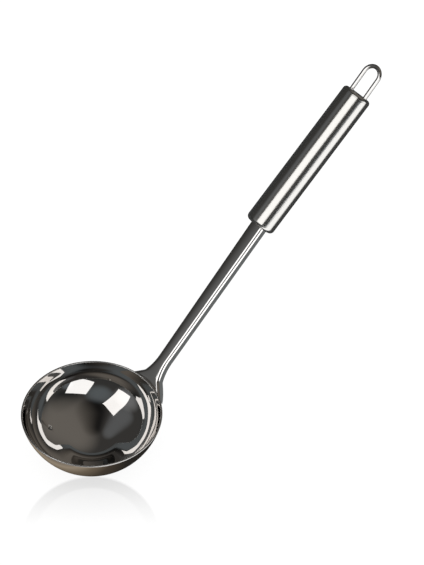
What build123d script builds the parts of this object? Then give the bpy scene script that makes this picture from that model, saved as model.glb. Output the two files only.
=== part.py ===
"""Soup ladle: a pressed bowl, a pressed channel stem that flares into the bowl's wall,
and a hollow tube handle that holds the stem's tang and a wire hanging loop.

Millimetres. The bowl's axis is +Z with its lowest point at the origin, and the
handle rises towards +X in the XZ plane.
"""

import math
import os

from build123d import *

os.makedirs("parts", exist_ok=True)

# Bowl: a part of a hollow sphere, of one sheet thickness
bowl_diameter = 90.0
bowl_depth = 37.4
bowl_wall = 1.2
rim_round = 0.45

# Stem: a channel pressed from one strip, open at the back
stem_angle = 43.3
stem_setback = 1.2
stem_wall = 1.3
stem_depth = 6.2
stem_bend_radius = 1.9
stem_neck_width = 8.5
stem_end_width = 10.8
stem_visible_length = 121.5
tang_length = 26.0
neck_length = 16.4
neck_radius = 35.0
neck_turn = 20.5
flare_radius = 4.7
flare_turn = 46.0
flare_half_width = 17.4
tip_radius = 2.5
trough_flat_width = 18.0
trough_rise_width = 10.7

# Handle tube, closed and rounded at its lower end, and the cap that closes the top
handle_angle = 39.7
tube_diameter = 20.0
tube_wall = 1.0
tube_corner_radius = 3.0
handle_length = 104.9
cap_rim_height = 2.6
cap_corner_radius = 2.4
cap_corner_limit_share = 0.95
cap_thickness = 1.4
cap_skirt_length = 6.0
cap_skirt_wall = 0.9

# Hanging loop, and the disc that centres the tang in the tube
loop_wire_diameter = 2.8
loop_spacing = 12.2
loop_reach = 21.5
loop_root = 4.0
loop_lean = 3.0
spacer_thickness = 2.0
spacer_inset = 3.0

# Clearances between pieces, and one overrun for every cut
slot_clearance = 0.1
skirt_clearance = 0.05
wire_clearance = 0.05
spacer_clearance = 0.05
cut_overrun = 5.0

bowl_radius = bowl_diameter / 2
sphere_radius = (bowl_radius**2 + bowl_depth**2) / (2 * bowl_depth)
tube_radius = tube_diameter / 2
tube_bore_radius = tube_radius - tube_wall
tube_length = handle_length - cap_rim_height
wire_radius = loop_wire_diameter / 2
quarter = math.pi / 2
standing = (Align.CENTER, Align.CENTER, Align.MIN)


def direction(angle):
    """The unit vector in the XZ plane that rises at an angle, in degrees, above +X."""
    rise = math.radians(angle)
    return Vector(math.cos(rise), 0, math.sin(rise))


def bowl_arc(inset):
    """The bowl's section at one inset from its outside: one arc, from the axis to the rim."""
    reach = sphere_radius - inset
    spread = math.acos((sphere_radius - bowl_depth) / reach)

    def on_arc(angle):
        return (reach * math.sin(angle), sphere_radius - reach * math.cos(angle))

    return ThreePointArc(on_arc(0), on_arc(spread / 2), on_arc(spread))


def make_bowl():
    """The bowl: a revolved sheet of even thickness with a rounded rim."""
    outer, inner = bowl_arc(0), bowl_arc(bowl_wall)
    section = make_face([outer, Line(outer @ 1, inner @ 1), inner, Line(inner @ 0, outer @ 0)])
    section = fillet(section.vertices().group_by(Axis.Y)[-1], rim_round)
    return revolve(Plane.XZ * section, Axis.Z)


def make_bowl_envelope():
    """All that lies inside the bowl's outer surface and straight above its rim."""
    outer = bowl_arc(0)
    rim, top = outer @ 1, bowl_depth + bowl_depth
    section = make_face(
        [
            outer,
            Line(rim, (rim.X, top)),
            Line((rim.X, top), (0, top)),
            Line((0, top), outer @ 0),
        ]
    )
    return revolve(Plane.XZ * section, Axis.Z)


stem_plane = Plane(
    origin=(bowl_radius + stem_setback, 0, bowl_depth),
    x_dir=direction(stem_angle),
    z_dir=direction(stem_angle).rotate(Axis.Y, -math.degrees(quarter)),
)
stem_length = stem_visible_length + tang_length
stem_root = -bowl_radius / 2


def stem_outline(growth, end_overrun):
    """The stem seen square to its front: a taper, with a concave flare at the neck.

    Each flare is two tangent arcs, a long one and then a short one, and a straight part
    out to a rounded tip, from which the edge returns along the stem to the bowl.
    """
    taper = math.atan2((stem_end_width - stem_neck_width) / 2, stem_length - neck_length)
    turn, slant = math.radians(neck_turn), math.radians(flare_turn)

    def away(angle):
        return Vector(-math.sin(angle), math.cos(angle))

    neck_centre = Vector(neck_length, stem_neck_width / 2) + away(taper) * neck_radius
    flare_centre = neck_centre - away(-turn) * (neck_radius - flare_radius)

    def on_neck(angle):
        return neck_centre - away(angle) * (neck_radius - growth)

    def on_flare(angle):
        return flare_centre - away(angle) * (flare_radius - growth)

    lean = away(-slant)
    shoulder = flare_centre - lean * flare_radius
    tip_rise = flare_half_width - tip_radius + tip_radius * lean.Y - shoulder.Y
    tip_start = shoulder + Vector(-lean.Y, lean.X) * (tip_rise / lean.X)
    tip_centre = tip_start - lean * tip_radius

    def on_tip(angle):
        return tip_centre + away(angle) * (tip_radius + growth)

    start, bend, tip = on_neck(taper), on_flare(-turn), on_tip(0)
    end_u = stem_length + end_overrun
    end = start + Vector(1, math.tan(taper)) * (end_u - start.X)
    root = Vector(stem_root, tip.Y)
    face = make_face(
        [
            Line(root, tip),
            ThreePointArc(tip, on_tip(-slant / 2), on_tip(-slant)),
            Line(on_tip(-slant), on_flare(-slant)),
            ThreePointArc(on_flare(-slant), on_flare(-(turn + slant) / 2), bend),
            ThreePointArc(bend, on_neck((taper - turn) / 2), start),
            Line(start, end),
            Line(end, (end_u, 0)),
            Line((end_u, 0), (stem_root, 0)),
            Line((stem_root, 0), root),
        ]
    )
    return face + mirror(face, Plane.XZ)


def stem_block(growth, bend_radius, end_overrun):
    """A deep solid under the stem's outline, grown all round, with round front bends."""
    outline = stem_outline(growth, end_overrun)
    block = extrude(stem_plane.offset(growth) * outline, -stem_depth - cut_overrun)
    front = block.faces().sort_by(Axis(stem_plane.origin, stem_plane.z_dir))[-1]
    root, *bends, end = front.edges().sort_by(Axis(stem_plane.origin, stem_plane.x_dir))
    return fillet(bends, bend_radius)


def trough(growth):
    """The stem seen along its length: a trough that rises in half ellipses to the tips."""
    rise, depth = trough_rise_width + growth, stem_depth + growth
    top = growth + cut_overrun
    hanging = (Align.CENTER, Align.MAX)
    section = Pos(0, top) * Rectangle(trough_flat_width, top + depth, align=hanging)
    section += Pos(0, top) * Rectangle(trough_flat_width + 2 * rise, top, align=hanging)
    for side in (-1, 1):
        section += Pos(side * trough_flat_width / 2, 0) * Ellipse(rise, depth)
    along = Plane(
        origin=stem_plane.from_local_coords((stem_root, 0, 0)),
        x_dir=(0, 1, 0),
        z_dir=stem_plane.x_dir,
    )
    return extrude(along * section, stem_length - stem_root + cut_overrun)


def make_stem(envelope):
    """The stem: a channel whose front, bends and sides end on the bowl's wall."""
    outside = stem_block(0, stem_bend_radius, 0) & trough(0)
    hollow = stem_block(-stem_wall, stem_bend_radius - stem_wall, cut_overrun)
    return outside - hollow - envelope


def make_stem_passage():
    """The stem's section grown by the slot's clearance, to cut what it goes through."""
    block = stem_block(slot_clearance, stem_bend_radius + slot_clearance, cut_overrun)
    return block & trough(slot_clearance)


handle_plane = Plane(
    origin=stem_plane.from_local_coords((stem_visible_length, 0, -stem_depth / 2)),
    x_dir=(0, 1, 0),
    z_dir=direction(handle_angle),
)


def make_tube(passage):
    """The handle tube: deep drawn, its lower end closed round the stem's slot."""
    tube = Cylinder(tube_radius, tube_length, align=standing)
    tube = fillet(tube.edges().group_by(Axis.Z)[0], tube_corner_radius)
    bore = Pos(0, 0, tube_wall) * Cylinder(tube_bore_radius, tube_length, align=standing)
    bore = fillet(bore.edges().group_by(Axis.Z)[0], tube_corner_radius - tube_wall)
    return handle_plane * (tube - bore) - passage


loop_plane = Plane(
    origin=handle_plane.from_local_coords((0, 0, handle_length)),
    x_dir=(0, 1, 0),
    z_dir=direction(handle_angle + loop_lean),
)
loop_foot = -cap_thickness - loop_root


def loop_holes(radius):
    """Two rods along the loop's legs, long enough to cut the cap right through."""
    length = cap_rim_height + cap_skirt_length + cut_overrun
    rod = Cylinder(radius, 2 * length)
    return [loop_plane * Pos(side * loop_spacing / 2, 0, 0) * rod for side in (-1, 1)]


def make_cap():
    """The end cap: a rounded disc with a skirt inside the tube and two wire holes."""
    disc = Pos(0, 0, tube_length) * Cylinder(tube_radius, cap_rim_height, align=standing)
    corner = min(cap_corner_radius, cap_corner_limit_share * cap_rim_height)
    disc = fillet(disc.edges().group_by(Axis.Z)[-1], corner)
    skirt_radius = tube_bore_radius - skirt_clearance
    foot = Pos(0, 0, tube_length - cap_skirt_length)
    skirt = foot * Cylinder(skirt_radius, cap_skirt_length, align=standing)
    cavity_height = cap_skirt_length + cap_rim_height - cap_thickness
    cavity = foot * Cylinder(skirt_radius - cap_skirt_wall, cavity_height, align=standing)
    cap = handle_plane * (disc + skirt - cavity)
    for hole in loop_holes(wire_radius + wire_clearance):
        cap -= hole
    return cap


def make_loop():
    """The hanging loop: one bent wire, its two legs through the cap."""
    half = loop_spacing / 2
    crown = loop_reach - wire_radius
    shoulder = crown - half
    path = Wire(
        [
            Edge.make_line((-half, 0, loop_foot), (-half, 0, shoulder)),
            Edge.make_three_point_arc((-half, 0, shoulder), (0, 0, crown), (half, 0, shoulder)),
            Edge.make_line((half, 0, shoulder), (half, 0, loop_foot)),
        ]
    )
    section = Plane(origin=(-half, 0, loop_foot), z_dir=(0, 0, 1)) * Circle(wire_radius)
    return loop_plane * sweep(section, path)


def make_spacer(passage):
    """The tang spacer: a disc that centres the tang's end in the tube."""
    radius = tube_bore_radius - spacer_clearance
    top = Pos(0, 0, tang_length - spacer_inset - spacer_thickness)
    disc = top * Cylinder(radius, spacer_thickness, align=standing)
    return handle_plane * disc - passage


def main():
    """Makes each piece and writes it to its own file."""
    envelope = make_bowl_envelope()
    passage = make_stem_passage()
    pieces = {
        "bowl": make_bowl(),
        "stem": make_stem(envelope),
        "handle_tube": make_tube(passage),
        "end_cap": make_cap(),
        "hanging_loop": make_loop(),
        "tang_spacer": make_spacer(passage),
    }
    for name, piece in pieces.items():
        export_step(piece, f"parts/{name}.step")
        print(name, round(piece.volume), "mm3", "valid" if piece.is_valid else "INVALID")


main()
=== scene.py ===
"""Soup ladle in polished and satin stainless steel, on a white studio floor.

Metres, in the frame of the CAD model: the bowl's axis is +Z with its lowest point at
the origin, and the handle rises towards +X in the XZ plane.
"""

import math

import bpy
import numpy as np
from mathutils import Matrix


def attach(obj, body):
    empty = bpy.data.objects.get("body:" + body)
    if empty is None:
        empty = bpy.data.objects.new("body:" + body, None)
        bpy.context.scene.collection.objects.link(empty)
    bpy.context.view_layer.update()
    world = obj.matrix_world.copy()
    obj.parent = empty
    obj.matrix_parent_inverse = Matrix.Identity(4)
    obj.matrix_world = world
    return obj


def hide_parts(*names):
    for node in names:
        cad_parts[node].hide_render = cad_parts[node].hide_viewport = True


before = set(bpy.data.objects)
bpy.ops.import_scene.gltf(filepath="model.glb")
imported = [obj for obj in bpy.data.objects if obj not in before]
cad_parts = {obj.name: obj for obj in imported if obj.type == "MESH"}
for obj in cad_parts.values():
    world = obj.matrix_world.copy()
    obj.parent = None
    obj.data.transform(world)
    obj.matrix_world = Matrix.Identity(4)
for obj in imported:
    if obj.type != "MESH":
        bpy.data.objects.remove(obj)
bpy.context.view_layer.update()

# The bowl: one disc of stainless sheet, pressed to a part of a sphere outside and rolled
# inside, flat at the bottom and tight below the wall. Both sides are polished until they
# mirror the room, and the rounded rim is ground.

bowl_radius = 0.045
bowl_depth = 0.0374
sheet = 0.0012
sphere_radius = (bowl_radius**2 + bowl_depth**2) / (2 * bowl_depth)
sphere_centre = np.array([0.0, 0.0, sphere_radius])
ground_share = 0.35
outside_rows = 88
rim_rows = 17
inside_rows = 240
bowl_columns = 288


def skin(name, points, around=False, poles=(False, False)):
    """A smooth mesh over a grid of points with one row for each step along the form.

    Each face joins four neighbours of the grid. `around` joins the last column to
    the first. A pole is a first or last row whose points are all one vertex.
    """
    rows, columns = points.shape[:2]
    index = np.arange(rows * columns).reshape(rows, columns)
    if poles[0]:
        index[0] = index[0, 0]
    if poles[1]:
        index[-1] = index[-1, 0]
    if around:
        index = np.concatenate([index, index[:, :1]], axis=1)
    corners = [index[:-1, :-1], index[:-1, 1:], index[1:, 1:], index[1:, :-1]]
    faces = np.stack(corners, axis=-1).reshape(-1, 4)
    used, faces = np.unique(faces, return_inverse=True)
    faces = faces.reshape(-1, 4)
    fan_first = faces[:, 0] == faces[:, 1]
    fan_last = faces[:, 2] == faces[:, 3]
    whole = ~(fan_first | fan_last)
    polygons = (
        faces[whole].tolist()
        + faces[fan_first][:, [0, 2, 3]].tolist()
        + faces[fan_last][:, [0, 1, 2]].tolist()
    )
    mesh = bpy.data.meshes.new(name)
    mesh.from_pydata(points.reshape(-1, 3)[used].tolist(), [], polygons)
    mesh.shade_smooth()
    mesh.update()
    made = bpy.data.objects.new(name, mesh)
    bpy.context.scene.collection.objects.link(made)
    return made


def arc(centre, radius, start, end, steps):
    """Points of a circle in a plane: centre plus radius times (cos, sin) of each angle."""
    angle = np.radians(np.linspace(start, end, steps))
    return np.stack(
        [centre[0] + radius * np.cos(angle), centre[1] + radius * np.sin(angle)], axis=-1
    )


def turned(profile, columns):
    """A profile of (radius, height) turned about +Z: (r cos a, r sin a, h) for each a."""
    angle = np.linspace(0, 2 * math.pi, columns, endpoint=False)
    radius, height = profile[:, :1], profile[:, 1:]
    level = height * np.ones_like(angle)
    return np.stack([radius * np.cos(angle), radius * np.sin(angle), level], axis=-1)


def rolled(share, slope, end, steps):
    """A profile from the axis to `end`, as the rolling tool leaves it, from its slope.

    The slope, in degrees, is given at shares of the profile's length, and averaged
    over a sixteenth of it so that it turns softly. Radius and height are the running
    sums of its cosine and sine, scaled to the end's radius.
    """
    angle = np.radians(np.interp(np.linspace(0, 1, steps), share, slope))
    soft = np.hanning(steps // 16)
    ends = len(soft)
    padded = np.concatenate([-angle[ends:0:-1], angle, np.full(ends, angle[-1])])
    angle = np.convolve(padded, soft / soft.sum(), mode="same")[ends:-ends]
    step = np.stack([np.cos(angle), np.sin(angle)], axis=-1)
    path = np.concatenate([[[0, 0]], np.cumsum((step[1:] + step[:-1]) / 2, axis=0)])
    path *= end[0] / path[-1, 0]
    return path + [0, end[1] - path[-1, 1]]


def shader_node(tree, kind, inputs=None, **settings):
    """A node of one kind with its settings, whose inputs take values or link to sockets."""
    made = tree.nodes.new("ShaderNode" + kind)
    for setting, value in settings.items():
        setattr(made, setting, value)
    for key, value in (inputs or {}).items():
        if isinstance(value, bpy.types.NodeSocket):
            tree.links.new(value, made.inputs[key])
        else:
            made.inputs[key].default_value = value
    return made


def steel(name, colour, roughness, spread, grain, grain_scale, relief, lean=0.0):
    """Steel whose colour, height and roughness waver with noise on Object coordinates.

    The fine lines are a noise that is `grain` times finer along each of its three axes,
    which are turned up from +X by `lean`. The lines stand `relief` high, and the colour
    is darker between them. The roughness goes `spread` either way in larger blotches.
    """
    line_detail, shade_between = 4.0, 0.94
    blotch_scale, blotch_detail = 90.0, 3.0
    between = [shade_between * share for share in colour]
    material = bpy.data.materials.new(name)
    material.use_nodes = True
    tree = material.node_tree
    place = shader_node(tree, "TexCoord").outputs["Object"]
    turned_up = shader_node(
        tree,
        "Mapping",
        {"Vector": place, "Rotation": (0.0, -lean, 0.0), "Scale": [1 / g for g in grain]},
        vector_type="TEXTURE",
    ).outputs["Vector"]
    lines = shader_node(
        tree, "TexNoise", {"Vector": turned_up, "Scale": grain_scale, "Detail": line_detail}
    ).outputs["Fac"]
    blotches = shader_node(
        tree, "TexNoise", {"Vector": place, "Scale": blotch_scale, "Detail": blotch_detail}
    ).outputs["Fac"]
    rough = shader_node(
        tree,
        "MapRange",
        {"Value": blotches, "To Min": roughness - spread, "To Max": roughness + spread},
    ).outputs["Result"]
    tint = shader_node(
        tree,
        "Mix",
        {"Factor": lines, "A": (*between, 1.0), "B": (*colour, 1.0)},
        data_type="RGBA",
    ).outputs["Result"]
    height = shader_node(
        tree, "Bump", {"Strength": 1.0, "Distance": relief, "Height": lines}
    ).outputs["Normal"]
    shader = tree.nodes["Principled BSDF"]
    shader.inputs["Metallic"].default_value = 1.0
    tree.links.new(tint, shader.inputs["Base Color"])
    tree.links.new(rough, shader.inputs["Roughness"])
    tree.links.new(height, shader.inputs["Normal"])
    return material


rim_angle = math.degrees(
    math.acos((sphere_radius - bowl_depth + sheet / 2) / (sphere_radius - sheet / 2))
)
rim_start, rim_end = rim_angle - 90, rim_angle + 90
arc_centre = (0, sphere_radius)
outside = arc(arc_centre, sphere_radius, -90, rim_start, outside_rows)
rim_middle = arc(arc_centre, sphere_radius - sheet / 2, rim_start, rim_start, 1)[0]
rim = arc(rim_middle, sheet / 2, rim_start, rim_end, rim_rows)

# How steep the inside is on its way from the axis to the rim: a wide shallow bottom, a
# tight roll and an almost straight wall, which give the bowl its mirror patterns.

inside_share = [0, 0.25, 0.42, 0.52, 0.62, 0.71, 0.79, 0.86, 0.92, 0.96, 1]
inside_slope = [0, 25.3, 25.5, 30.7, 41.2, 52.7, 61.1, 70.3, 80.2, 80.6, 80.7]
inside = rolled(inside_share, inside_slope, rim[-1], inside_rows)[::-1]

bowl_points = turned(np.concatenate([outside, rim[1:-1], inside]), bowl_columns)
bowl = skin("bowl_polished", bowl_points, around=True, poles=(True, True))
bowl.data.materials.append(
    steel(
        "mirror_bowl",
        colour=(0.86, 0.84, 0.82),
        roughness=0.03,
        spread=0.02,
        grain=(1, 1, 9),
        grain_scale=700.0,
        relief=0.0000008,
    )
)
bowl.data.materials.append(
    steel(
        "ground_rim",
        colour=(0.92, 0.91, 0.89),
        roughness=0.3,
        spread=0.05,
        grain=(1, 1, 9),
        grain_scale=500.0,
        relief=0.000002,
    )
)
ground_from = rim_middle[1] + ground_share * sheet / 2
face_centres = np.empty(3 * len(bowl.data.polygons), dtype=np.float32)
bowl.data.polygons.foreach_get("center", face_centres)
is_ground = face_centres[2::3] > ground_from
bowl.data.polygons.foreach_set("material_index", is_ground.astype(np.int32))
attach(bowl, "root")
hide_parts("bowl")

# The stem: one strip of sheet pressed into a channel that is open at the back. It
# widens slowly towards the handle, and at its neck both sides flare and lie against
# the bowl's wall, where they are welded under the rim.

stem_angle = math.radians(43.3)
stem_setback = 0.0012
stem_wall = 0.0013
stem_side = 0.0062
stem_bend = 0.0019
stem_seen = 0.1215
stem_tang = 0.026
neck_at = 0.0164
neck_half = 0.00425
end_half = 0.0054
neck_arc = 0.035
neck_turn = math.radians(20.5)
flare_arc = 0.0047
flare_turn = math.radians(46)
tip_half = 0.0174
tip_round = 0.0025
trough_flat = 0.009
trough_rise = 0.0107
seat = 0.0002
crown = 0.00008
foot_round = 0.0025
foot_drop = 0.0007
long_steps = 40
flare_steps = 30
short_steps = 16
weld_rows = 10
bend_steps = 12
face_steps = 31

along = np.array([math.cos(stem_angle), 0.0, math.sin(stem_angle)])
across = np.array([0.0, 1.0, 0.0])
front = np.array([-math.sin(stem_angle), 0.0, math.cos(stem_angle)])
stem_origin = np.array([bowl_radius + stem_setback, 0.0, bowl_depth])
stem_end = stem_seen + stem_tang


def on_wall(half, depth):
    """How far along the stem the bowl's outside lies, at a half width and a depth.

    The line start + t * along meets the sphere where |start + t * along - centre| is
    its radius, and the larger root of that quadratic is the side that faces the stem.
    """
    half, depth = np.broadcast_arrays(half, depth)
    start = stem_origin + half[..., None] * across - depth[..., None] * front - sphere_centre
    middle = start @ along
    return -middle + np.sqrt(middle**2 - (start**2).sum(-1) + sphere_radius**2)


def stem_outline():
    """One side of the stem's outline, with the angle of its outward normal.

    From the handle down: a straight taper, a long arc, a short arc, a straight part
    out to the tip, a small round corner and a straight return to the bowl. Arcs are
    centre plus radius times the normal, and the rest are straight lines.
    """
    taper = math.atan2(end_half - neck_half, stem_end - neck_at)

    def away(angle):
        return np.stack([-np.sin(angle), np.cos(angle)], axis=-1)

    centre = np.array([neck_at, neck_half]) + away(np.float64(taper)) * neck_arc
    neck_angle = np.linspace(taper, -neck_turn, long_steps)
    neck = centre - away(neck_angle) * neck_arc
    centre = centre - away(np.float64(-neck_turn)) * (neck_arc - flare_arc)
    flare_angle = np.linspace(-neck_turn, -flare_turn, flare_steps)[1:]
    flare = centre - away(flare_angle) * flare_arc
    slope = np.array([-math.cos(flare_turn), math.sin(flare_turn)])
    corner_start = tip_half - tip_round * (1 - math.cos(flare_turn))
    run = (corner_start - flare[-1][1]) / slope[1]
    straight = flare[-1] + slope * np.linspace(0, run, short_steps)[1:, None]
    corner_centre = straight[-1] - tip_round * away(np.float64(-flare_turn))
    corner_angle = np.linspace(flare_turn, 0.0, short_steps)[1:]
    corner = corner_centre + tip_round * away(-corner_angle)
    end = np.array([stem_end, end_half])
    body = end + (neck[0] - end) * np.linspace(0, 1, long_steps)[:-1, None]
    to_tip = corner[-1:]
    points = np.concatenate(
        [body, neck, flare, straight, corner, np.repeat(to_tip, weld_rows, axis=0)]
    )
    angle = np.concatenate(
        [
            np.full(len(body), -taper),
            -neck_angle,
            -flare_angle,
            np.full(len(straight), flare_turn),
            corner_angle,
            np.zeros(weld_rows),
        ]
    )
    return points, angle


outline, turn = stem_outline()
to_foot = np.arange(len(outline)) - (len(outline) - 1 - weld_rows)
to_foot = np.clip(to_foot, 0, None) / weld_rows
over_flat = np.clip(outline[:, 1] - trough_flat, 0, None) / trough_rise
free_edge = stem_side * np.sqrt(1 - over_flat**2)


def stem_layer(inset):
    """One face of the sheet, inset from the outside, from one free edge to the other.

    Each row crosses the stem. Its side goes up from the free edge, its bend is a
    quarter circle and its front, slightly crowned, spans the two bends. The last rows
    run down to the bowl, and the front's rows are drawn in so that the last one lies
    on it, where the front also curves down to the weld.
    """
    bend = stem_bend - inset
    angle = np.linspace(0, math.pi / 2, bend_steps)
    rise = stem_bend + crown - free_edge[:, None]
    side = free_edge[:, None] + rise * np.linspace(0, 1, bend_steps)[:-1]
    bent = np.broadcast_to(
        inset + crown + bend * (1 - np.sin(angle)), (len(outline), bend_steps)
    )
    depth = np.concatenate([side, bent], axis=1)
    inward = inset + np.concatenate([np.zeros(bend_steps - 1), bend * (1 - np.cos(angle))])
    half_u = outline[:, :1] - inward * np.sin(turn)[:, None]
    half_v = outline[:, 1:] - inward * np.cos(turn)[:, None]
    foot = on_wall(half_v, depth) - seat
    half_u = np.maximum(half_u + (foot - half_u) * to_foot[:, None], foot)
    face = np.linspace(1, -1, face_steps)[1:-1]
    face_v = half_v[:, -1:] * face
    top_u, foot_u = half_u[0, -1], half_u[-1, -1]
    foot = on_wall(half_v[-1, -1] * face, np.full_like(face, inset)) - seat
    face_u = top_u + (half_u[:, -1:] - top_u) * (foot - top_u) / (foot_u - top_u)
    near_foot = np.clip(1 - (face_u - foot) / foot_round, 0, 1) * (1 - face**2)
    face_depth = inset + foot_drop * near_foot**2 + crown * face**2
    face_u -= (foot - on_wall(face_v, face_depth) + seat) * near_foot**2
    u = np.concatenate([half_u, face_u, half_u[:, ::-1]], axis=1)
    v = np.concatenate([-half_v, -face_v, half_v[:, ::-1]], axis=1)
    d = np.concatenate([depth, face_depth, depth[:, ::-1]], axis=1)
    return stem_origin + u[..., None] * along + v[..., None] * across - d[..., None] * front


outer, inner = stem_layer(0.0), stem_layer(stem_wall)
between = (outer + inner) / 2
outer, inner = (
    np.concatenate([between[:1], layer, between[-1:]]) for layer in (outer, inner)
)
stem = skin("stem_polished", np.concatenate([outer, inner[:, ::-1]], axis=1), around=True)
stem.data.materials.append(
    steel(
        "mirror_stem",
        colour=(0.86, 0.84, 0.82),
        roughness=0.035,
        spread=0.02,
        grain=(1, 9, 1),
        grain_scale=700.0,
        relief=0.0000008,
    )
)
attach(stem, "root")
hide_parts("stem")

# The handle tube: a drawn tube with a closed, rounded lower end that is slotted for
# the stem. It is brushed all round to a fine, even satin.

handle_angle = math.radians(39.7)
tube_radius = 0.010
tube_wall = 0.001
tube_corner = 0.003
tube_length = 0.1023
slot_half = (0.0053, 0.0032)
slot_squareness = 8
edge_round = 0.0001
wall_rows = 60
corner_rows = 20
bore_corner_rows = 12
edge_rows = 5
tube_columns = 192
handle_start = stem_origin + stem_seen * along - stem_side / 2 * front
handle_along = np.array([math.cos(handle_angle), 0.0, math.sin(handle_angle)])
handle_up = np.array([-math.sin(handle_angle), 0.0, math.cos(handle_angle)])


def on_handle(radius, height, angle):
    """Points round the handle's axis: start + height * along + radius * (cos a, sin a)."""
    return (
        handle_start
        + np.asarray(height)[..., None] * handle_along
        + (radius * np.cos(angle))[..., None] * across
        + (radius * np.sin(angle))[..., None] * handle_up
    )


round_the_tube = np.linspace(0, 2 * math.pi, tube_columns, endpoint=False)
slot_edge = (
    np.abs(np.cos(round_the_tube) / slot_half[0]) ** slot_squareness
    + np.abs(np.sin(round_the_tube) / slot_half[1]) ** slot_squareness
) ** (-1 / slot_squareness)
bore = tube_radius - tube_wall
bore_corner = tube_corner - tube_wall
bore_foot = tube_wall + bore_corner
lip = tube_length - edge_round
tube_profile = np.concatenate(
    [
        arc((tube_radius - tube_corner, tube_corner), tube_corner, -90, 0, corner_rows),
        np.linspace((tube_radius, tube_corner), (tube_radius, lip), wall_rows)[1:-1],
        arc((tube_radius - edge_round, lip), edge_round, 0, 90, edge_rows),
        arc((bore + edge_round, lip), edge_round, 90, 180, edge_rows),
        np.linspace((bore, tube_length), (bore, bore_foot), wall_rows)[1:-1],
        arc((bore - bore_corner, bore_foot), bore_corner, 0, -90, bore_corner_rows),
    ]
)
slot_outside = on_handle(slot_edge, 0.0, round_the_tube)
slot_inside = on_handle(slot_edge, tube_wall, round_the_tube)
tube_walls = on_handle(tube_profile[:, :1], tube_profile[:, 1:], round_the_tube)
tube = skin(
    "handle_tube_satin",
    np.stack([slot_outside, *tube_walls, slot_inside, slot_outside]),
    around=True,
)
satin = steel(
    "satin_handle",
    colour=(0.87, 0.855, 0.83),
    roughness=0.17,
    spread=0.02,
    grain=(14, 1, 1),
    grain_scale=260.0,
    relief=0.0000006,
    lean=handle_angle,
)
tube.data.materials.append(satin)
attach(tube, "root")
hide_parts("handle_tube")

# The end cap: a small pressed disc with a rounded edge and a skirt inside the tube.
# It is welded in, and a fine seam shows round the handle where it meets the tube.

cap_top = 0.1049
cap_corner = 0.0024
cap_sheet = 0.0014
skirt_gap = 0.00005
skirt_wall = 0.0009
skirt_length = 0.006
skirt = bore - skirt_gap
skirt_inside = skirt - skirt_wall
skirt_foot = tube_length - skirt_length
cap_under = cap_top - cap_sheet
cap_seam = tube_length + edge_round
cap_side = cap_top - cap_corner
cap_profile = np.concatenate(
    [
        [(0.0, cap_under), (skirt_inside, cap_under), (skirt_inside, skirt_foot)],
        [(skirt, skirt_foot), (skirt, tube_length)],
        arc((tube_radius - edge_round, cap_seam), edge_round, -90, 0, edge_rows),
        arc((tube_radius - cap_corner, cap_side), cap_corner, 0, 90, corner_rows),
        [(0.0, cap_top)],
    ]
)
cap_points = on_handle(cap_profile[:, :1], cap_profile[:, 1:], round_the_tube)
cap = skin("end_cap_satin", cap_points, around=True, poles=(True, True))
cap.data.materials.append(satin)
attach(cap, "root")
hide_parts("end_cap")

# The hanging loop: one piece of bright drawn wire, bent round, with both legs fixed
# in the end cap.

wire_radius = 0.0014
loop_half = 0.0061
loop_reach = 0.02147
loop_root = 0.0054
loop_lean = math.radians(3)
leg_steps = 20
arch_steps = 49
wire_sides = 32
loop_angle = handle_angle + loop_lean
loop_along = np.array([math.cos(loop_angle), 0.0, math.sin(loop_angle)])
loop_up = np.array([-math.sin(loop_angle), 0.0, math.cos(loop_angle)])
loop_start = handle_start + cap_top * handle_along
shoulder = loop_reach - wire_radius - loop_half

# The wire's centre line goes up one leg, round a half circle and down the other leg,
# and its ring at each point is radius * (cos a, sin a) square to its heading.

leg = np.linspace(-loop_root, shoulder, leg_steps)
arch = np.radians(np.linspace(180, 0, arch_steps))[1:-1]
first_leg, last_leg = np.full(leg_steps, -1.0), np.full(leg_steps, 1.0)
loop_y = loop_half * np.concatenate([first_leg, np.cos(arch), last_leg])
loop_t = np.concatenate([leg, shoulder + loop_half * np.sin(arch), leg[::-1]])
quarter = math.pi / 2
heading = np.concatenate([-quarter * first_leg, arch - quarter, -quarter * last_leg])
round_the_wire = np.linspace(2 * math.pi, 0, wire_sides, endpoint=False)
centre_line = loop_start + loop_y[:, None] * across + loop_t[:, None] * loop_along
sideways = -np.sin(heading)[:, None] * across + np.cos(heading)[:, None] * loop_along
rings = (
    centre_line[:, None]
    + wire_radius * np.cos(round_the_wire)[None, :, None] * sideways[:, None]
    + wire_radius * np.sin(round_the_wire)[None, :, None] * loop_up
)
first_end, last_end = (
    np.broadcast_to(end[None, None], (1, wire_sides, 3))
    for end in (centre_line[0], centre_line[-1])
)
wire_points = np.concatenate([first_end, rings, last_end])
loop = skin("hanging_loop_wire", wire_points, around=True, poles=(True, True))
loop.data.materials.append(
    steel(
        "bright_wire",
        colour=(0.84, 0.82, 0.8),
        roughness=0.06,
        spread=0.02,
        grain=(1, 9, 1),
        grain_scale=900.0,
        relief=0.000001,
    )
)
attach(loop, "root")
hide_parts("hanging_loop")

# The tang spacer: a plain disc, out of sight in the tube, that centres the stem's
# end. Its CAD solid stays.

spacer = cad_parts["tang_spacer"]
spacer.data.materials.clear()
spacer.data.materials.append(
    steel(
        "plain_steel",
        colour=(0.6, 0.6, 0.6),
        roughness=0.35,
        spread=0.08,
        grain=(1, 1, 1),
        grain_scale=400.0,
        relief=0.00001,
    )
)

# The floor: a white board that keeps the ladle's soft shadow, with a faint painted
# reflection of the bowl drawn on it. Bright metal shows what lies on it: brown paper
# under the bowl, darkened towards +X by painted shade, black card under the handle and
# left of the bowl, and bare white board in front.

white, black, no_light = (1.0, 1.0, 1.0), (0.035, 0.036, 0.036), (0.0, 0.0, 0.0)
floor_reach = 6.0
floor_drop = 0.0002
board_glow = 0.88
board_grey = 0.25
mirrored_glow = 1.12

# The black card ends on the line y + card_slope * x = card_edge, and at the left of the
# bowl. The brown paper is a round sheet whose brown darkens towards +X with painted
# shade under the bowl.

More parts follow.
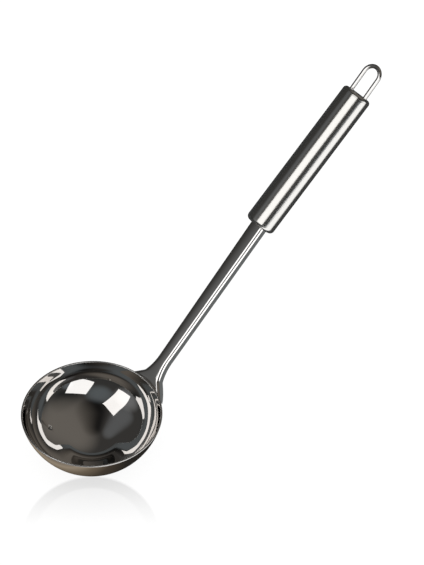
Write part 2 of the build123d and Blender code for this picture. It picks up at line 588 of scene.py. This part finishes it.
card_slope = 0.75
card_edge = (-0.04, 0.01)
left_edge = (-0.12, -0.02)
paper_and_painted_shade_edge = (0.055, 0.085)
paper_and_painted_shade_span = (-0.055, 0.02)
# Brown, then darker towards +X: painted shade under the bowl, which only the metal sees.
paper_and_painted_shade_tones = [
    (0.0, (0.17, 0.14, 0.11)),
    (0.14, (0.29, 0.24, 0.18)),
    (0.3, (0.145, 0.115, 0.082)),
    (0.5, (0.055, 0.043, 0.032)),
    (0.8, (0.02, 0.018, 0.016)),
]

# The view's direction, and the bowl's painted reflection as an ellipse along the view's
# right and upward directions: its centre, its half sizes, where it starts and ends, and
# how strong it is. Beyond each ring of the ellipse its strength is multiplied by a factor.

view_azimuth, view_elevation, view_roll = -130.55, 45.87, 0.93
painted_reflection_centre = (0.0006, -0.0547)
painted_reflection_half = (0.0444, 0.0393)
painted_reflection_start, painted_reflection_end = -0.0198, -0.0485
painted_reflection_strength = 0.15
painted_reflection_rings = [(1.0, 0.0), (0.83, 1.6)]
painted_reflection_blur = 0.02


def on_dome(azimuth, elevation, radius=1.0):
    """Points of a sphere about the origin: radius * (cos e cos a, cos e sin a, sin e)."""
    a, e = np.radians(azimuth), np.radians(elevation)
    return radius * np.stack([np.cos(e) * np.cos(a), np.cos(e) * np.sin(a), np.sin(e)], axis=-1)


def facing(azimuth, elevation, turn):
    """Right, upward and back of what looks at the origin from an azimuth and elevation.

    Right is level and square to back, and upward is square to both. The two are then
    turned about back.
    """
    a, q = np.radians([azimuth, turn])
    back = on_dome(azimuth, elevation)
    level = np.array([-math.sin(a), math.cos(a), 0.0])
    steep = np.cross(back, level)
    right = math.cos(q) * level + math.sin(q) * steep
    upward = math.cos(q) * steep - math.sin(q) * level
    return right, upward, back


def material_of(name, tree_maker):
    """A material whose tree `tree_maker` fills, returning its last shader's socket."""
    material = bpy.data.materials.new(name)
    material.use_nodes = True
    tree = material.node_tree
    tree.nodes.clear()
    shader_node(tree, "OutputMaterial", {"Surface": tree_maker(tree)})
    return material


def ramp_of(tree, value, span, stops):
    """Colours along a value from one end of `span` to the other, at shares of the way."""
    share = shader_node(
        tree, "MapRange", {"Value": value, "From Min": span[0], "From Max": span[1]}
    )
    ramp = shader_node(tree, "ValToRGB", {"Fac": share.outputs["Result"]})
    elements = ramp.color_ramp.elements
    while len(elements) < len(stops):
        elements.new(0.5)
    for element, (position, colour) in zip(elements, stops):
        element.position = position
        element.color = (*colour, 1.0)
    return ramp.outputs["Color"]


def painted_reflection(tree, place):
    """A share of painted reflection: the bowl's faint mirror image drawn on the board in front
    of it.

    It lies inside an ellipse, is stronger between this and a smaller one, and fades
    with the distance from the bowl.
    """
    right, upward, _ = facing(view_azimuth, view_elevation, view_roll)
    aside, ahead = (
        shader_node(tree, "VectorMath", {0: place, 1: direction}, operation="DOT_PRODUCT")
        .outputs["Value"]
        for direction in (right, upward)
    )
    flat = shader_node(tree, "CombineXYZ", {"X": aside, "Y": ahead}).outputs[0]
    ellipse = shader_node(
        tree,
        "Mapping",
        {"Vector": flat, "Location": (*painted_reflection_centre, 0.0), "Scale": (*painted_reflection_half, 1.0)},
        vector_type="TEXTURE",
    ).outputs[0]
    reach = shader_node(tree, "VectorMath", {0: ellipse}, operation="LENGTH").outputs["Value"]
    share = shader_node(
        tree,
        "MapRange",
        {
            "Value": ahead,
            "From Min": painted_reflection_end,
            "From Max": painted_reflection_start,
            "To Max": painted_reflection_strength,
        },
    ).outputs["Result"]
    for ring, kept in painted_reflection_rings:
        edge = shader_node(
            tree,
            "MapRange",
            {
                "Value": reach,
                "From Min": ring - painted_reflection_blur,
                "From Max": ring + painted_reflection_blur,
                "To Min": 1.0,
                "To Max": kept,
            },
        ).outputs["Result"]
        share = shader_node(tree, "Math", {0: share, 1: edge}, operation="MULTIPLY").outputs[0]
    return share


def floor_tree(tree):
    """White to the camera with a painted reflection of the bowl, and to the metal the papers
    that lie on the board, with painted shade on the brown one.
    """
    place = shader_node(tree, "TexCoord").outputs["Object"]
    # The bowl's painted reflection dims the board's white glow.
    image = painted_reflection(tree, place)
    pale = ramp_of(tree, image, (0.0, 1.0), [(0.0, white), (1.0, no_light)])
    glow = shader_node(tree, "Emission", {"Color": pale, "Strength": board_glow})
    board = shader_node(tree, "BsdfDiffuse", {"Color": (*[board_grey] * 3, 1.0)})
    seen = shader_node(tree, "AddShader", {0: glow.outputs[0], 1: board.outputs[0]})

    apart = shader_node(tree, "SeparateXYZ", {0: place}).outputs
    beyond = shader_node(
        tree, "Math", {0: apart["X"], 1: card_slope, 2: apart["Y"]}, operation="MULTIPLY_ADD"
    ).outputs[0]
    card = ramp_of(tree, beyond, card_edge, [(0.0, white), (1.0, black)])
    left = ramp_of(tree, apart["X"], left_edge, [(0.0, black), (1.0, white)])
    darker = shader_node(
        tree,
        "Mix",
        {"Factor": 1.0, "A": card, "B": left},
        data_type="RGBA",
        blend_type="DARKEN",
    ).outputs["Result"]
    reach = shader_node(tree, "VectorMath", {0: place}, operation="LENGTH").outputs["Value"]
    near = ramp_of(tree, reach, paper_and_painted_shade_edge, [(0.0, white), (1.0, no_light)])
    # The brown paper with painted shade under the bowl, darker towards +X.
    paper_with_painted_shade = ramp_of(tree, apart["X"], paper_and_painted_shade_span, paper_and_painted_shade_tones)
    papers_with_painted_shade = shader_node(
        tree, "Mix", {"Factor": near, "A": darker, "B": paper_with_painted_shade}, data_type="RGBA"
    ).outputs["Result"]
    mirrored = shader_node(tree, "Emission", {"Color": papers_with_painted_shade, "Strength": mirrored_glow})

    path = shader_node(tree, "LightPath")
    return shader_node(
        tree,
        "MixShader",
        {"Fac": path.outputs["Is Glossy Ray"], 1: seen.outputs[0], 2: mirrored.outputs[0]},
    ).outputs[0]


floor_x, floor_y = np.meshgrid([-floor_reach, floor_reach], [-floor_reach, floor_reach])
floor_z = np.full_like(floor_x, -floor_drop)
floor = skin("floor", np.stack([floor_x, floor_y, floor_z], axis=-1))
floor.data.materials.append(material_of("white_board", floor_tree))

# The studio: a dark cloth tent that only the metal sees. It is open at the foot of
# its -Y side, towards the white room, and a little lighter or darker in a few
# directions, each given by azimuth and elevation, reach and change of colour.

tent_radius = 2.5
tent_opening = (230, 310)
foot_low, foot_high = -1, 6
foot_rows, foot_columns = 4, 64
roof_rows, roof_columns = 24, 72
tent_height = 2.4
tent_tones = [
    (0.0, (0.03, 0.031, 0.031)),
    (0.5, (0.04, 0.039, 0.037)),
    (1.0, (0.04, 0.038, 0.036)),
]
tent_glows = [
    ((342, 52), 54, (0.1, 0.09, 0.078)),
    ((290, 40), 28, (-0.03, -0.027, -0.024)),
    ((230, 80), 24, (-0.035, -0.033, -0.031)),
    ((215, 46), 26, (0.055, 0.069, 0.078)),
    ((132, 53), 20, (0.06, 0.065, 0.07)),
    ((164, 29), 27, (0.118, 0.122, 0.126)),
    ((270, 12), 12, (0.07, 0.08, 0.09)),
]


def tent_tree(tree):
    """Dark cloth, a little lighter overhead, and the glows.

    The share of a glow rises smoothly with the cosine of the angle to its direction,
    from its reach to the middle.
    """
    place = shader_node(tree, "TexCoord").outputs["Object"]
    height = shader_node(tree, "SeparateXYZ", {0: place}).outputs["Z"]
    total = ramp_of(tree, height, (0.0, tent_height), tent_tones)
    unit = shader_node(tree, "VectorMath", {0: place}, operation="NORMALIZE").outputs[0]
    for (azimuth, elevation), reach, change in tent_glows:
        towards = shader_node(
            tree,
            "VectorMath",
            {0: unit, 1: on_dome(azimuth, elevation)},
            operation="DOT_PRODUCT",
        ).outputs["Value"]
        share = shader_node(
            tree,
            "MapRange",
            {"Value": towards, "From Min": math.cos(math.radians(reach)), "From Max": 1.0},
            interpolation_type="SMOOTHSTEP",
        ).outputs["Result"]
        total = shader_node(
            tree, "VectorMath", {0: share, 1: change, 2: total}, operation="MULTIPLY_ADD"
        ).outputs[0]
    return shader_node(tree, "Emission", {"Color": total}).outputs[0]


foot_azimuth, foot_elevation = np.meshgrid(
    np.linspace(tent_opening[1], tent_opening[0] + 360, foot_columns),
    np.linspace(foot_low, foot_high, foot_rows),
)
tent_foot = skin("tent_foot", on_dome(foot_azimuth, foot_elevation, tent_radius))
roof_azimuth, roof_elevation = np.meshgrid(
    np.linspace(0, 360, roof_columns, endpoint=False),
    np.linspace(foot_high, 90, roof_rows),
)
tent_roof = skin(
    "tent_roof",
    on_dome(roof_azimuth, roof_elevation, tent_radius),
    around=True,
    poles=(False, True),
)
tent_cloth = material_of("dark_cloth", tent_tree)
for cloth in (tent_foot, tent_roof):
    cloth.data.materials.append(tent_cloth)
    cloth.visible_camera = False
    cloth.visible_diffuse = False
    cloth.visible_shadow = False
    cloth.visible_transmission = False

# The softboxes: two that the bowl mirrors, a long one each for the handle and the stem,
# and a wide one for the wire. Each is linked to the pieces that it is there for.

bowl_softbox_distance = 2.2
long_softbox_distance = 1.6
wire_softbox_distance = 1.0
long_softbox_length = 1.4


def placed(right, upward, back, place):
    """The transform whose columns are three directions and a place."""
    columns = np.column_stack([right, upward, back, place])
    return Matrix([*columns.tolist(), [0, 0, 0, 1]])


def lamp(name, transform, size, colour, radiance, lit):
    """A rectangular lamp that only the pieces in `lit` show.

    Its power is its radiance times pi times its area.
    """
    light = bpy.data.lights.new(name, "AREA")
    light.shape = "RECTANGLE"
    light.size, light.size_y = size
    light.color = colour
    light.energy = radiance * math.pi * size[0] * size[1]
    made = bpy.data.objects.new(name, light)
    bpy.context.scene.collection.objects.link(made)
    made.matrix_world = transform
    made.visible_camera = False
    receivers = bpy.data.collections.new(name)
    for piece in lit:
        receivers.objects.link(piece)
    made.light_linking.receiver_collection = receivers


def seen_size(half_angle, distance):
    """The width of a lamp that spans twice `half_angle`, in degrees, from a distance."""
    return 2 * distance * math.tan(math.radians(half_angle))


def bowl_softbox(name, azimuth, elevation, turn, half_angles, colour, radiance):
    """A softbox that faces the bowl from a direction, with its half sizes as angles."""
    right, upward, back = facing(azimuth, elevation, turn)
    size = [seen_size(half, bowl_softbox_distance) for half in half_angles]
    place = bowl_softbox_distance * back
    lamp(name, placed(right, upward, back, place), size, colour, radiance, [bowl])


def long_softbox(name, angles, distance, colour, radiance, lit):
    """A softbox in line with the handle, between two angles about the handle's axis.

    Angles go from the handle's top towards -Y, so that back is cos a times the one plus
    sin a times the other, at the middle angle a.
    """
    middle = math.radians((angles[0] + angles[1]) / 2)
    back = math.cos(middle) * handle_up - math.sin(middle) * across
    right = np.cross(handle_along, back)
    size = (seen_size((angles[1] - angles[0]) / 2, distance), long_softbox_length)
    transform = placed(right, handle_along, back, distance * back)
    lamp(name, transform, size, colour, radiance, lit)


bowl_softbox(
    "softbox_left",
    azimuth=172.5,
    elevation=43.5,
    turn=5,
    half_angles=(12, 24),
    colour=(1, 0.99, 0.98),
    radiance=1.08,
)
bowl_softbox(
    "softbox_right",
    azimuth=252.5,
    elevation=25,
    turn=57,
    half_angles=(17.5, 18),
    colour=(1, 1, 1),
    radiance=1.1,
)
long_softbox(
    "softbox_strip",
    angles=(2, 48),
    distance=long_softbox_distance,
    colour=(1, 0.985, 0.97),
    radiance=1.1,
    lit=[tube, cap],
)
long_softbox(
    "softbox_stem",
    angles=(-9, 42),
    distance=long_softbox_distance,
    colour=(1, 1, 1),
    radiance=1.4,
    lit=[stem],
)
long_softbox(
    "softbox_wire",
    angles=(-14, 80),
    distance=wire_softbox_distance,
    colour=(1, 1, 1),
    radiance=1.2,
    lit=[loop],
)

# Two boards on the floor that the stem's side wall mirrors: a white one beyond a line
# along the stem, and a grey one under all of it.


def stem_board(name, edge, line, size, colour, radiance):
    """A lamp that lies on the floor and faces up, for the stem alone.

    `edge` is the middle of its near edge and `line` that edge's angle from +X. The
    board lies to the right of that line.
    """
    side = np.array([math.cos(line), math.sin(line), 0.0])
    out = np.array([math.sin(line), -math.cos(line), 0.0])
    place = np.array(edge) + out * size[1] / 2
    lamp(name, placed(side, out, np.cross(side, out), place), size, colour, radiance, [stem])


stem_board(
    "white_board_strip",
    edge=(0.163, -0.0745, 0.0),
    line=math.atan(-0.42),
    size=(0.4, 0.3),
    colour=(1, 1, 1),
    radiance=1.1,
)
stem_board(
    "grey_board",
    edge=(0.1, 0.3, 0.0),
    line=0.0,
    size=(0.8, 0.6),
    colour=(0.9, 0.97, 1),
    radiance=0.12,
)

# The white room outside the tent. It lights the floor evenly, and the camera and the
# metal see it as plain white.

room_light = 0.7
world = bpy.data.worlds.new("white_room")
bpy.context.scene.world = world
world.use_nodes = True
room = world.node_tree
room.nodes.clear()
path = shader_node(room, "LightPath").outputs
seen = path["Is Camera Ray"]
for ray in ("Is Glossy Ray", "Is Transmission Ray"):
    seen = shader_node(room, "Math", {0: seen, 1: path[ray]}, operation="MAXIMUM").outputs[0]
strength = shader_node(
    room, "MapRange", {"Value": seen, "To Min": room_light, "To Max": 1.0}
).outputs["Result"]
background = shader_node(room, "Background", {"Color": (1, 1, 1, 1), "Strength": strength})
shader_node(room, "OutputWorld", {"Surface": background.outputs[0]})

# The camera: far off and long, above the rim's plane on the side away from the handle,
# looking at a point beside the stem. Its direction stands with the floor's values.

view_aim = np.array([0.09763, -0.00115, 0.09322])
view_distance = 1.8
view = bpy.data.cameras.new("camera")
view.lens = 180.53
view.sensor_width = 36.0
view.clip_end = 50.0
camera = bpy.data.objects.new("camera", view)
bpy.context.scene.collection.objects.link(camera)
right, upward, back = facing(view_azimuth, view_elevation, view_roll)
camera.matrix_world = placed(right, upward, back, view_aim + view_distance * back)
bpy.context.scene.camera = camera
bpy.context.scene.view_settings.view_transform = "Standard"
